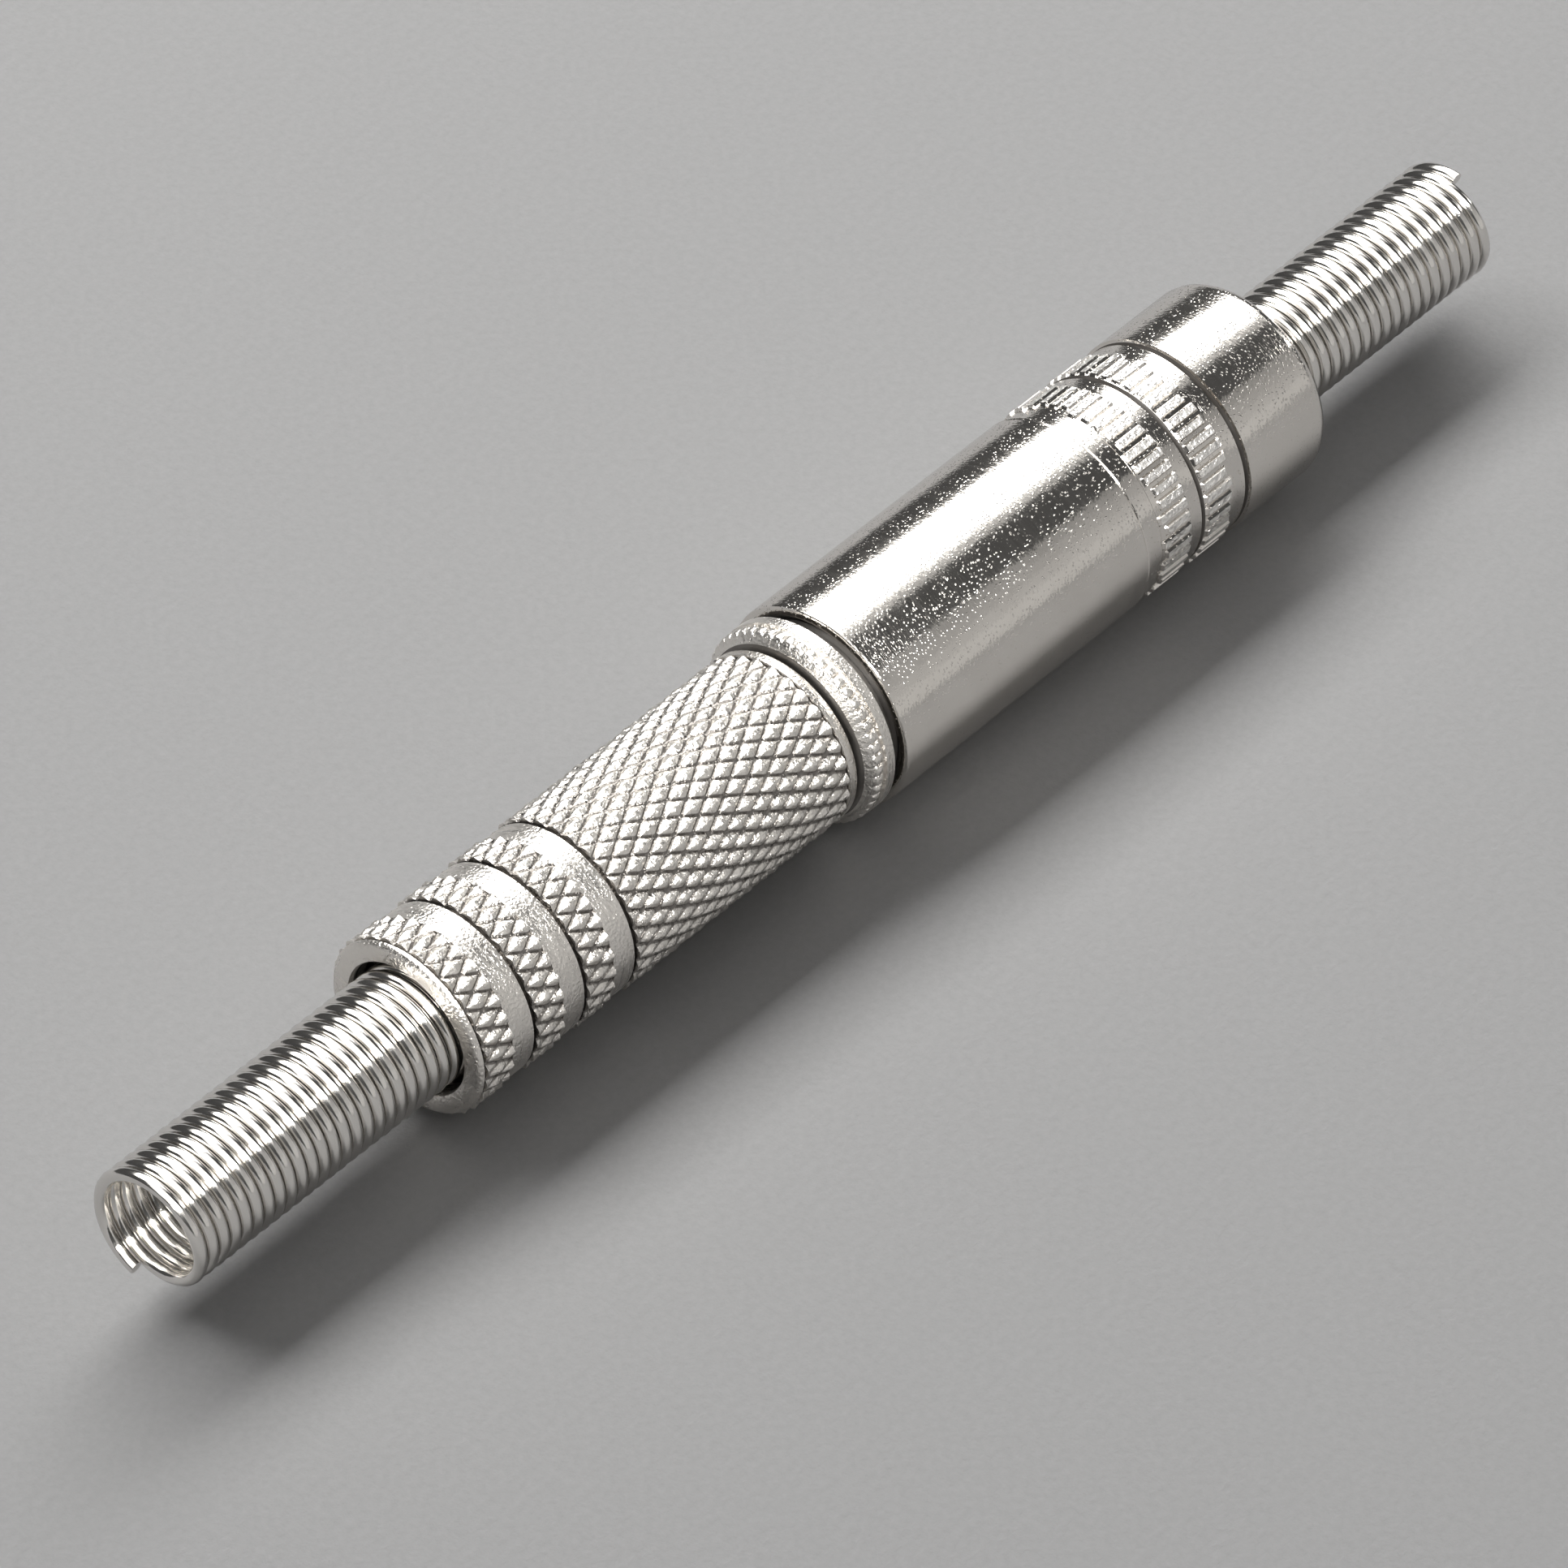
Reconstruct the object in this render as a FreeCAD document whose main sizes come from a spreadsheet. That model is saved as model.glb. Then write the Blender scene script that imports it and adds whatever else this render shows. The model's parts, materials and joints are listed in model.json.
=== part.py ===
import FreeCAD, Part
import math
import os
import Sketcher
from FreeCAD import Vector

# An in-line plug and jack, pushed together and lying on a table.
# Each piece is drawn about its own X axis, with X = 0 at the jack's front face,
# the plug towards -X and the jack towards +X. Lengths are in millimetres.
SIZES = {
    # Fits
    "running_clearance": 0.05,
    "press_clearance": 0.02,
    "face_gap": 0.05,
    # Plug pin
    "pin_radius": 1.75,
    "pin_length": 14.0,
    "sleeve_length": 6.3,
    "pole_gap": 1.0,
    "ring_length": 2.0,
    "rod_radius": 0.35,
    "inner_tube_radius": 0.6,
    "stem_radius": 0.9,
    "sleeve_bore": 1.25,
    "tip_rim_length": 0.25,
    "notch_radius": 1.15,
    "notch_slope": 0.9,
    "bulb_radius": 1.62,
    "bulb_slope": 1.1,
    "bulb_width": 0.15,
    "nose_radius": 0.6,
    # Plug body and its collar
    "shoulder_length": 0.45,
    "shoulder_radius": 4.2,
    "collar_length": 1.25,
    "collar_radius": 4.75,
    "collar_step": 0.2,
    "cone_length": 0.35,
    "cone_radius": 3.95,
    "boss_length": 4.3,
    "relief_length": 0.5,
    "relief_depth": 0.3,
    "spigot_radius": 1.7,
    "spigot_length": 0.5,
    # Terminals behind the plug body
    "lug_thickness": 0.35,
    "washer_thickness": 0.6,
    "outer_washer_radius": 1.8,
    "inner_washer_radius": 1.15,
    "peened_end": 0.1,
    "rivet_height": 0.2,
    "rivet_radius": 0.6,
    "ring_eye_radius": 1.6,
    "ring_tab_width": 1.6,
    "ring_tab_length": 4.3,
    "tip_eye_radius": 1.0,
    "tip_tab_width": 1.4,
    "tip_tab_length": 3.6,
    "solder_hole_radius": 0.4,
    # Cable clamps
    "clamp_radius": 2.0,
    "clamp_angle": 250,
    "arm_angle": 64,
    "arm_step": 0.25,
    "plug_clamp_length": 3.6,
    "plug_clamp_margin": 7.0,
    "washer_inset": 0.4,
    "liner_thickness": 0.2,
    "liner_clearance": 0.3,
    "plug_liner_overhang": 0.9,
    # Plug handle
    "handle_gap": 0.2,
    "handle_length": 23.3,
    "handle_radius": 4.3,
    "handle_wall": 0.75,
    "front_ring_length": 0.45,
    "front_ring_depth": 0.1,
    "rear_wall": 1.0,
    "handle_chamfer": 0.25,
    "rear_rim_length": 0.35,
    "band_width": 1.62,
    "band_gap": 1.45,
    "band_gap_depth": 0.14,
    "band_count": 3,
    # Strain relief springs
    "wire_diameter": 0.6,
    "coil_clearance": 0.3,
    "plug_coil_radius": 2.885,
    "plug_coil_length": 15.6,
    "plug_flare_clearance": 0.105,
    "jack_coil_radius": 2.77,
    "jack_coil_length": 14.5,
    "jack_flare_clearance": 0.63,
    "flare_length": 1.5,
    # Jack bush and shell
    "bush_length": 4.5,
    "bush_chamfer": 0.35,
    "bush_spigot_step": 0.05,
    "bush_spigot_length": 1.7,
    "shell_radius": 4.9,
    "shell_wall": 0.75,
    "shell_length": 27.9,
    "shell_rim": 0.15,
    "shell_chamfer": 0.45,
    "land_start": 15.8,
    "land_width": 1.0,
    "land_depth": 0.14,
    "land_count": 3,
    "tooth_band_width": 1.9,
    "tooth_count": 48,
    "tooth_groove": 0.3,
    "tooth_depth": 0.12,
    # Jack insulator, contacts and terminals
    "insulator_clearance": 0.1,
    "insulator_bore_share": 0.4,
    "insulator_front_wall": 2.05,
    "bore_margin": 0.65,
    "slot_margin": 0.3,
    "slot_width": 1.6,
    "insulator_back_wall": 1.3,
    "cap_thickness": 1.0,
    "leaf_thickness": 0.2,
    "leaf_width": 1.2,
    "leaf_cover": 0.5,
    "leaf_clearance": 0.05,
    "touch_gap": 0.06,
    "ring_leaf_slope": 1.5,
    "ring_leaf_end": 0.8,
    "ring_leaf_lift": 0.7,
    "tip_leaf_slope": 1.76,
    "jack_tab_length": 3.1,
    "jack_neck_length": 1.2,
    "jack_clamp_length": 3.8,
    "jack_clamp_front_gap": 1.65,
    "jack_clamp_rear_gap": 1.15,
    "jack_arm_clearance": 0.2,
    "jack_liner_start": 0.15,
}

document = FreeCAD.newDocument("PlugAndJack")
sheet = document.addObject("Spreadsheet::Sheet", "Sizes")
for row, (alias, number) in enumerate(SIZES.items(), start=1):
    sheet.set(f"A{row}", alias.replace("_", " "))
    sheet.set(f"B{row}", str(number))
    sheet.setAlias(f"B{row}", alias)
document.recompute()


class Length:
    """A length worked out from the sheet: its formula, and what that comes to."""

    def __init__(self, formula, value):
        self.formula = formula
        self.value = value

    def combined(self, sign, left, right, value):
        return Length(f"({left.formula} {sign} {right.formula})", value)

    def __add__(self, other):
        other = as_length(other)
        return self.combined("+", self, other, self.value + other.value)

    def __sub__(self, other):
        other = as_length(other)
        return self.combined("-", self, other, self.value - other.value)

    def __mul__(self, other):
        other = as_length(other)
        return self.combined("*", self, other, self.value * other.value)

    def __truediv__(self, other):
        other = as_length(other)
        return self.combined("/", self, other, self.value / other.value)

    def __neg__(self):
        return as_length(0) - self


def as_length(number):
    return number if isinstance(number, Length) else Length(repr(number), number)


class SheetSizes:
    """Every cell of the sheet by its alias, as a length that formulas can use."""

    def __getattr__(self, alias):
        return Length(f"Sizes.{alias}", float(sheet.get(alias)))


size = SheetSizes()
AXIS = as_length(0)

# Radii that nest inside the handle and the shell, from the outside inwards
plug_thread_bore = size.handle_radius - size.handle_wall
plug_thread_radius = plug_thread_bore - size.running_clearance
ground_washer_radius = plug_thread_radius - size.washer_inset
plug_liner_outer = plug_thread_bore - size.liner_clearance
plug_liner_inner = plug_liner_outer - size.liner_thickness
shell_thread_bore = size.shell_radius - size.shell_wall
bush_radius = shell_thread_bore - size.running_clearance
jack_liner_outer = shell_thread_bore - size.liner_clearance
jack_liner_inner = jack_liner_outer - size.liner_thickness
jack_arm_outer = jack_liner_inner - size.jack_arm_clearance
jack_arm_inner = jack_arm_outer - size.lug_thickness
insulator_radius = jack_arm_inner - size.insulator_clearance
insulator_bore = size.pin_radius + (insulator_radius - size.pin_radius) * size.insulator_bore_share
bush_spigot_radius = insulator_bore + size.bush_spigot_step
leaf_height = insulator_radius - size.leaf_cover

# Radii of the crimp barrels, and of the strips that lead to them one step further out
barrel_outer = size.clamp_radius + size.lug_thickness
strip_inner = size.clamp_radius + size.arm_step
strip_outer = strip_inner + size.lug_thickness

# Places along the plug, from the jack's face backwards and along the pin
shoulder_face = -size.face_gap
collar_face = shoulder_face - size.shoulder_length
collar_back = collar_face - size.collar_length
cone_back = collar_back - size.cone_length
boss_back = cone_back - size.boss_length
spigot_back = boss_back - size.spigot_length
sleeve_end = shoulder_face + size.sleeve_length
ring_start = sleeve_end + size.pole_gap
ring_end = ring_start + size.ring_length
tip_start = ring_end + size.pole_gap
notch_place = tip_start + size.tip_rim_length + size.notch_slope
bulb_start = notch_place + size.bulb_slope
bulb_end = bulb_start + size.bulb_width
tip_end = shoulder_face + size.pin_length

# The stack of washers and lugs behind the plug body
outer_washer_back = spigot_back - size.washer_thickness
ring_lug_back = outer_washer_back - size.lug_thickness
stem_back = ring_lug_back - size.peened_end
inner_washer_back = stem_back - size.washer_thickness
tip_lug_back = inner_washer_back - size.lug_thickness
rod_back = tip_lug_back - size.rivet_height

# The handle and the plug's strain relief
handle_front = cone_back - size.handle_gap
handle_back = handle_front - size.handle_length
handle_chamber_end = handle_back + size.rear_wall
plug_mouth = handle_back - size.plug_coil_length
plug_clamp_end = handle_chamber_end + size.plug_clamp_margin
plug_clamp_start = plug_clamp_end + size.plug_clamp_length

# The jack, from its face backwards
bush_back = size.bush_length
bush_spigot_back = bush_back + size.bush_spigot_length
insulator_front = bush_back + size.lug_thickness
slot_start = insulator_front + size.insulator_front_wall
bore_end = tip_end + size.bore_margin
slot_end = bore_end + size.slot_margin
insulator_back = slot_end + size.insulator_back_wall
cap_back = insulator_back + size.cap_thickness
tab_end = cap_back + size.jack_tab_length
shell_chamber_end = size.shell_length - size.rear_wall
jack_mouth = size.shell_length + size.jack_coil_length
jack_spring_end = shell_chamber_end - size.face_gap - size.flare_length

# The jack's crimp barrel and its neck stand between the cap and the spring, and what room
# is left over is shared between the two gaps
jack_neck_room = size.lug_thickness + size.jack_neck_length
jack_spare_room = jack_spring_end - cap_back - jack_neck_room - size.jack_clamp_length
gap_scale = jack_spare_room / (size.jack_clamp_front_gap + size.jack_clamp_rear_gap)
jack_clamp_start = cap_back + size.jack_clamp_front_gap * gap_scale + jack_neck_room
jack_clamp_end = jack_clamp_start + size.jack_clamp_length

# The frame's origin is midway along the pair, on the table under its axis
frame_shift = -(plug_mouth + jack_mouth) / 2
axis_height = size.shell_radius


def bind(thing, property_name, length):
    thing.setExpression(property_name, length.formula)


def lay_down(thing):
    """Move a finished piece from its own axis to its place above the table."""
    bind(thing, "Placement.Base.x", frame_shift)
    bind(thing, "Placement.Base.z", axis_height)


def new_body(label):
    body = document.addObject("PartDesign::Body", label)
    body.Label = label
    return body


def origin_feature(body, role):
    return next(part for part in body.Origin.OriginFeatures if part.Role == role)


def new_sketch(body, name, plane, offset=None):
    """A sketch on one of the body's origin planes, moved along its normal."""
    sketch = body.newObject("Sketcher::SketchObject", name)
    sketch.AttachmentSupport = [(origin_feature(body, plane), "")]
    sketch.MapMode = "FlatFace"
    if offset is not None:
        bind(sketch, "AttachmentOffset.Base.z", offset)
    return sketch


def fix_point(sketch, edge, end, across, up):
    """Hold one point of an edge at its distances from the sketch's axes."""
    for kind, axis, length in (("DistanceX", -2, across), ("DistanceY", -1, up)):
        if length is AXIS:
            sketch.addConstraint(Sketcher.Constraint("PointOnObject", edge, end, axis))
            continue
        held = Sketcher.Constraint(kind, -1, 1, edge, end, length.value)
        bind(sketch, f"Constraints[{sketch.addConstraint(held)}]", length)


def draw_polygon(sketch, corners):
    """A closed run of straight edges through corners given as pairs of lengths."""
    first = sketch.GeometryCount
    points = [Vector(across.value, up.value, 0) for across, up in corners]
    for index, point in enumerate(points):
        following = points[(index + 1) % len(points)]
        sketch.addGeometry(Part.LineSegment(point, following), False)
    for index, (across, up) in enumerate(corners):
        following = first + (index + 1) % len(points)
        sketch.addConstraint(Sketcher.Constraint("Coincident", first + index, 2, following, 1))
        fix_point(sketch, first + index, 1, across, up)


def draw_circle(sketch, across, up, radius):
    circle = Part.Circle(Vector(across.value, up.value, 0), Vector(0, 0, 1), radius.value)
    edge = sketch.addGeometry(circle, False)
    fix_point(sketch, edge, 3, across, up)
    held = sketch.addConstraint(Sketcher.Constraint("Radius", edge, radius.value))
    bind(sketch, f"Constraints[{held}]", radius)


def turn(body, name, corners, angle=None):
    """Turn a half section about the X axis, all round or through an angle centred on its plane."""
    sketch = new_sketch(body, name + "Section", "XZ_Plane")
    draw_polygon(sketch, corners)
    revolution = body.newObject("PartDesign::Revolution", name)
    revolution.Profile = sketch
    revolution.ReferenceAxis = (sketch, ["H_Axis"])
    revolution.Angle = 360
    if angle is not None:
        revolution.Midplane = True
        bind(revolution, "Angle", angle)
    return revolution


def tube(start, end, inner, outer):
    """The half section of a plain tube between two places on the axis."""
    return [(start, inner), (end, inner), (end, outer), (start, outer)]


def ring_edges(feature, place, radius):
    """Names of the circular edges of a feature at one place and radius."""
    names = []
    for index, edge in enumerate(feature.Shape.Edges, start=1):
        circle = edge.Curve
        if not isinstance(circle, Part.Circle) or abs(circle.Radius - radius.value) > 1e-6:
            continue
        if abs(circle.Center.x - place.value) < 1e-6 and abs(circle.Axis.x) > 0.999:
            names.append(f"Edge{index}")
    return names


def chamfer_rings(body, name, rings, width):
    """Chamfer circular edges, given by their places and radii."""
    document.recompute()
    base = body.Tip
    names = [edge for place, ring in rings for edge in ring_edges(base, place, ring)]
    chamfer = body.newObject("PartDesign::Chamfer", name)
    chamfer.Base = (base, names)
    bind(chamfer, "Size", width)
    return chamfer


def repeat_about_axis(body, name, feature, count):
    """Copy a feature round the X axis."""
    pattern = body.newObject("PartDesign::PolarPattern", name)
    pattern.Originals = [feature]
    pattern.Axis = (origin_feature(body, "X_Axis"), [""])
    pattern.Angle = 360
    bind(pattern, "Occurrences", count)
    body.Tip = pattern
    return pattern


def repeat_along_axis(body, name, feature, pitch, count):
    """Copy a feature along the X axis."""
    pattern = body.newObject("PartDesign::LinearPattern", name)
    pattern.Originals = [feature]
    pattern.Direction = (origin_feature(body, "X_Axis"), [""])
    bind(pattern, "Length", pitch * (count - 1))
    bind(pattern, "Occurrences", count)
    body.Tip = pattern
    return pattern


def cut_ring(body, name, start, end, bottom, top):
    """Turn a square-sided ring out of the outside of a body."""
    sketch = new_sketch(body, name + "Section", "XZ_Plane")
    draw_polygon(sketch, tube(start, end, bottom, top))
    groove = body.newObject("PartDesign::Groove", name)
    groove.Profile = sketch
    groove.ReferenceAxis = (sketch, ["H_Axis"])
    groove.Angle = 360
    return groove


def cut_tooth_gap(body, name, start, length, radius, width, depth):
    """Cut one V-shaped gap between two teeth, along the axis from its start towards +X."""
    sketch = new_sketch(body, name + "Section", "YZ_Plane", start)
    draw_polygon(sketch, [
        (AXIS, radius - depth),
        (width, radius + depth),
        (-width, radius + depth),
    ])
    pocket = body.newObject("PartDesign::Pocket", name)
    pocket.Profile = sketch
    pocket.Reversed = True
    bind(pocket, "Length", length)
    return pocket


def make_plug_body():
    """Sleeve tube, shoulder, collar and threaded boss, turned in one piece."""
    body = new_body("plug_body")
    relief_radius = plug_thread_radius - size.relief_depth
    relief_back = cone_back - size.relief_length
    turn(body, "PlugBodyTurning", [
        (spigot_back, size.sleeve_bore),
        (sleeve_end, size.sleeve_bore),
        (sleeve_end, size.pin_radius),
        (shoulder_face, size.pin_radius),
        (shoulder_face, size.shoulder_radius),
        (collar_face, size.shoulder_radius),
        (collar_face, size.collar_radius),
        (collar_back, size.collar_radius),
        (collar_back, size.collar_radius - size.collar_step),
        (cone_back, size.cone_radius),
        (cone_back, relief_radius),
        (relief_back, relief_radius),
        (relief_back, plug_thread_radius),
        (boss_back, plug_thread_radius),
        (boss_back, size.spigot_radius),
        (spigot_back, size.spigot_radius),
    ])
    return body


def make_ring_insulator():
    """Bush between sleeve and ring: its collar shows as the pin's rear insulating ring."""
    body = new_body("plug_ring_insulator")
    inner = size.stem_radius + size.press_clearance
    outer = size.sleeve_bore - size.press_clearance
    turn(body, "RingBush", [
        (spigot_back, inner),
        (ring_start, inner),
        (ring_start, size.pin_radius),
        (sleeve_end, size.pin_radius),
        (sleeve_end, outer),
        (spigot_back, outer),
    ])
    return body


def make_ring_contact():
    """Ring pole with the tube that carries it back to its lug."""
    body = new_body("plug_ring_contact")
    inner = size.inner_tube_radius + size.press_clearance
    turn(body, "RingTurning", [
        (stem_back, inner),
        (ring_end, inner),
        (ring_end, size.pin_radius),
        (ring_start, size.pin_radius),
        (ring_start, size.stem_radius),
        (stem_back, size.stem_radius),
    ])
    return body


def make_tip_insulator():
    """Bush between ring and tip: its collar shows as the pin's front insulating ring."""
    body = new_body("plug_tip_insulator")
    inner = size.rod_radius + size.press_clearance
    turn(body, "TipBush", [
        (stem_back, inner),
        (tip_start, inner),
        (tip_start, size.pin_radius),
        (ring_end, size.pin_radius),
        (ring_end, size.inner_tube_radius),
        (stem_back, size.inner_tube_radius),
    ])
    return body


def make_tip_contact():
    """Tip pole: rim, notch, bulb and tapered nose, with a rod riveted over at its rear."""
    body = new_body("plug_tip_contact")
    turn(body, "TipTurning", [
        (rod_back, AXIS),
        (rod_back, size.rivet_radius),
        (tip_lug_back, size.rivet_radius),
        (tip_lug_back, size.rod_radius),
        (tip_start, size.rod_radius),
        (tip_start, size.pin_radius),
        (tip_start + size.tip_rim_length, size.pin_radius),
        (notch_place, size.notch_radius),
        (bulb_start, size.bulb_radius),
        (bulb_end, size.bulb_radius),
        (tip_end, size.nose_radius),
        (tip_end, AXIS),
    ])
    return body


def make_plain_tube(label, start, end, inner, outer):
    """A washer, liner or other plain tube."""
    body = new_body(label)
    turn(body, "Turning", tube(start, end, inner, outer))
    return body


def add_tab(body, name, root, end, width, height):
    """A flat solder tab with a round end and a hole, lying along the axis at a height in Y."""
    sketch = new_sketch(body, name + "Outline", "XZ_Plane", -height)
    half = width / 2
    centre = end + half
    low, high = Vector(centre.value, -half.value, 0), Vector(centre.value, half.value, 0)
    root_low, root_high = Vector(root.value, -half.value, 0), Vector(root.value, half.value, 0)
    round_end = Part.ArcOfCircle(Part.Circle(Vector(centre.value, 0, 0), Vector(0, 0, 1), half.value),
                                 math.pi / 2, 3 * math.pi / 2)
    sketch.addGeometry(Part.LineSegment(low, root_low), False)
    sketch.addGeometry(Part.LineSegment(root_low, root_high), False)
    sketch.addGeometry(Part.LineSegment(root_high, high), False)
    sketch.addGeometry(round_end, False)
    for edge, following in ((0, 1), (1, 2), (2, 3), (3, 0)):
        sketch.addConstraint(Sketcher.Constraint("Coincident", edge, 2, following, 1))
    fix_point(sketch, 0, 1, centre, -half)
    fix_point(sketch, 1, 1, root, -half)
    fix_point(sketch, 2, 1, root, half)
    fix_point(sketch, 3, 1, centre, half)
    held = sketch.addConstraint(Sketcher.Constraint("DistanceX", -1, 1, 3, 3, centre.value))
    bind(sketch, f"Constraints[{held}]", centre)
    draw_circle(sketch, centre, AXIS, size.solder_hole_radius)
    pad = body.newObject("PartDesign::Pad", name)
    pad.Profile = sketch
    pad.Midplane = True
    bind(pad, "Length", size.lug_thickness)
    return pad


def make_eye_lug(label, front, back, hole, eye_radius, width, length, side):
    """A solder lug: an eye riveted round its pole, and a tab bent back along the cable."""
    body = new_body(label)
    turn(body, "Eye", tube(back, front, hole, eye_radius))
    height = (eye_radius - size.lug_thickness / 2) * side
    add_tab(body, "Tab", front, back - length, width, height)
    return body


def make_plug_ground_lug():
    """Washer, curved arm and open crimp barrel that grips the cable, stamped in one piece."""
    body = new_body("plug_ground_lug")
    washer_back = boss_back - size.lug_thickness
    turn(body, "Washer", tube(washer_back, boss_back, size.spigot_radius + size.press_clearance,
                              ground_washer_radius))
    turn(body, "Arm", [
        (boss_back, -strip_inner),
        (plug_clamp_start, -strip_inner),
        (plug_clamp_start - size.lug_thickness, -barrel_outer),
        (plug_clamp_start, -strip_outer),
        (boss_back, -strip_outer),
    ], size.arm_angle)
    turn(body, "CrimpBarrel", tube(plug_clamp_end, plug_clamp_start, -size.clamp_radius, -barrel_outer),
         size.clamp_angle)
    return body


def make_plug_handle():
    """Turned barrel with a threaded front bore, three smooth grooves and a holed rear wall."""
    body = new_body("plug_handle")
    hole = size.plug_coil_radius + size.coil_clearance
    ring_back = handle_front - size.front_ring_length
    ring_radius = size.handle_radius - size.front_ring_depth
    turn(body, "HandleTurning", [
        (handle_front, plug_thread_bore),
        (handle_front, ring_radius),
        (ring_back, ring_radius),
        (ring_back, size.handle_radius),
        (handle_back, size.handle_radius),
        (handle_back, hole),
        (handle_chamber_end, hole),
        (handle_chamber_end, plug_thread_bore),
    ])
    chamfer_rings(body, "RearChamfers", [(handle_back, size.handle_radius), (handle_back, hole)],
                  size.handle_chamfer)
    gap_start = handle_back + size.rear_rim_length + size.band_width
    gap = cut_ring(body, "BandGap", gap_start, gap_start + size.band_gap,
                   size.handle_radius - size.band_gap_depth, size.handle_radius + size.band_gap_depth)
    repeat_along_axis(body, "BandGaps", gap, size.band_width + size.band_gap, size.band_count)
    return body


def make_jack_bush():
    """Threaded nose with the bore that takes the plug's sleeve, and a spigot behind."""
    body = new_body("jack_bush")
    bore = size.pin_radius + size.running_clearance
    turn(body, "BushTurning", [
        (size.bush_chamfer, bore),
        (bush_spigot_back, bore),
        (bush_spigot_back, bush_spigot_radius),
        (bush_back, bush_spigot_radius),
        (bush_back, bush_radius),
        (AXIS, bush_radius),
        (AXIS, bore + size.bush_chamfer),
    ])
    return body


def make_jack_insulator():
    """Moulded body with the pin's bore and two side slots in which the contact springs flex."""
    body = new_body("jack_insulator")
    socket = bush_spigot_radius + size.press_clearance
    socket_end = bush_spigot_back + size.face_gap
    turn(body, "Moulding", [
        (insulator_front, socket),
        (socket_end, socket),
        (socket_end, insulator_bore),
        (bore_end, insulator_bore),
        (bore_end, AXIS),
        (insulator_back, AXIS),
        (insulator_back, insulator_radius),
        (insulator_front, insulator_radius),
    ])
    half = size.slot_width / 2
    slots = new_sketch(body, "SlotOutline", "XZ_Plane")
    draw_polygon(slots, [(slot_start, -half), (slot_end, -half), (slot_end, half), (slot_start, half)])
    slot = body.newObject("PartDesign::Pocket", "SideSlots")
    slot.Profile = slots
    slot.Midplane = True
    slot.Type = "ThroughAll"
    channel_floor = leaf_height - size.leaf_thickness / 2 - size.leaf_clearance
    channel_top = insulator_radius + size.slot_margin
    channels = new_sketch(body, "ChannelOutline", "YZ_Plane", slot_end)
    for side in (1, -1):
        draw_polygon(channels, [
            (channel_floor * side, -half),
            (channel_top * side, -half),
            (channel_top * side, half),
            (channel_floor * side, half),
        ])
    channel = body.newObject("PartDesign::Pocket", "TailChannels")
    channel.Profile = channels
    channel.Reversed = True
    bind(channel, "Length", size.insulator_back_wall)
    return body


def make_jack_end_cap():
    """Insulating wafer behind the moulding, slotted for the tails of both springs."""
    body = new_body("jack_end_cap")
    turn(body, "Wafer", [
        (insulator_back, AXIS),
        (cap_back, AXIS),
        (cap_back, insulator_radius),
        (insulator_back, insulator_radius),
    ])
    half = size.leaf_width / 2 + size.leaf_clearance
    slot_low = leaf_height - size.leaf_thickness / 2 - size.leaf_clearance
    slot_high = leaf_height + size.leaf_thickness / 2 + size.leaf_clearance
    slits = new_sketch(body, "SlitOutline", "YZ_Plane", insulator_back)
    for side in (1, -1):
        draw_polygon(slits, [
            (slot_low * side, -half),
            (slot_high * side, -half),
            (slot_high * side, half),
            (slot_low * side, half),
        ])
    cut = body.newObject("PartDesign::Pocket", "TailSlits")
    cut.Profile = slits
    cut.Reversed = True
    bind(cut, "Length", size.cap_thickness)
    return body


def make_jack_ground_lug():
    """Washer on the bush, arm along the moulding, step inwards and open crimp barrel."""
    body = new_body("jack_ground_lug")
    step_place = jack_clamp_start - size.jack_neck_length
    step_back = step_place - size.lug_thickness
    turn(body, "Washer", tube(bush_back, insulator_front, bush_spigot_radius + size.press_clearance,
                              jack_arm_outer))
    turn(body, "Arm", [
        (bush_back, -jack_arm_inner),
        (step_back, -jack_arm_inner),
        (step_back, -strip_inner),
        (jack_clamp_start, -strip_inner),
        (jack_clamp_start + size.lug_thickness, -barrel_outer),
        (jack_clamp_start, -strip_outer),
        (step_place, -strip_outer),
        (step_place, -jack_arm_outer),
        (bush_back, -jack_arm_outer),
    ], size.arm_angle)
    turn(body, "CrimpBarrel", tube(jack_clamp_start, jack_clamp_end, -size.clamp_radius, -barrel_outer),
         size.clamp_angle)
    return body


def make_jack_shell():
    """Smooth turned barrel with a threaded mouth, two bands of straight teeth and a holed rear wall."""
    body = new_body("jack_shell")
    hole = size.jack_coil_radius + size.coil_clearance
    turn(body, "ShellTurning", [
        (AXIS, shell_thread_bore),
        (AXIS, size.shell_radius - size.shell_rim),
        (size.shell_rim, size.shell_radius),
        (size.shell_length, size.shell_radius),
        (size.shell_length, hole),
        (shell_chamber_end, hole),
        (shell_chamber_end, shell_thread_bore),
    ])
    chamfer_rings(body, "RearChamfer", [(size.shell_length, size.shell_radius)], size.shell_chamfer)
    land = cut_ring(body, "Land", size.land_start, size.land_start + size.land_width,
                    size.shell_radius - size.land_depth, size.shell_radius + size.land_depth)
    pitch = size.land_width + size.tooth_band_width
    repeat_along_axis(body, "Lands", land, pitch, size.land_count)
    teeth_start = size.land_start + size.land_width
    teeth_length = pitch * (size.land_count - 1) - size.land_width
    gap = cut_tooth_gap(body, "ToothGap", teeth_start, teeth_length,
                        size.shell_radius, size.tooth_groove, size.tooth_depth)
    repeat_about_axis(body, "Teeth", gap, size.tooth_count)
    return body


def drive_shape(label, lengths):
    """A piece whose shape is worked out in code, with its sizes kept as properties bound to the sheet."""
    piece = document.addObject("Part::Feature", label)
    piece.Label = label
    for name, length in lengths.items():
        piece.addProperty("App::PropertyFloat", name, "Sizes")
        bind(piece, name, length)
    document.recompute()
    return piece


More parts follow.
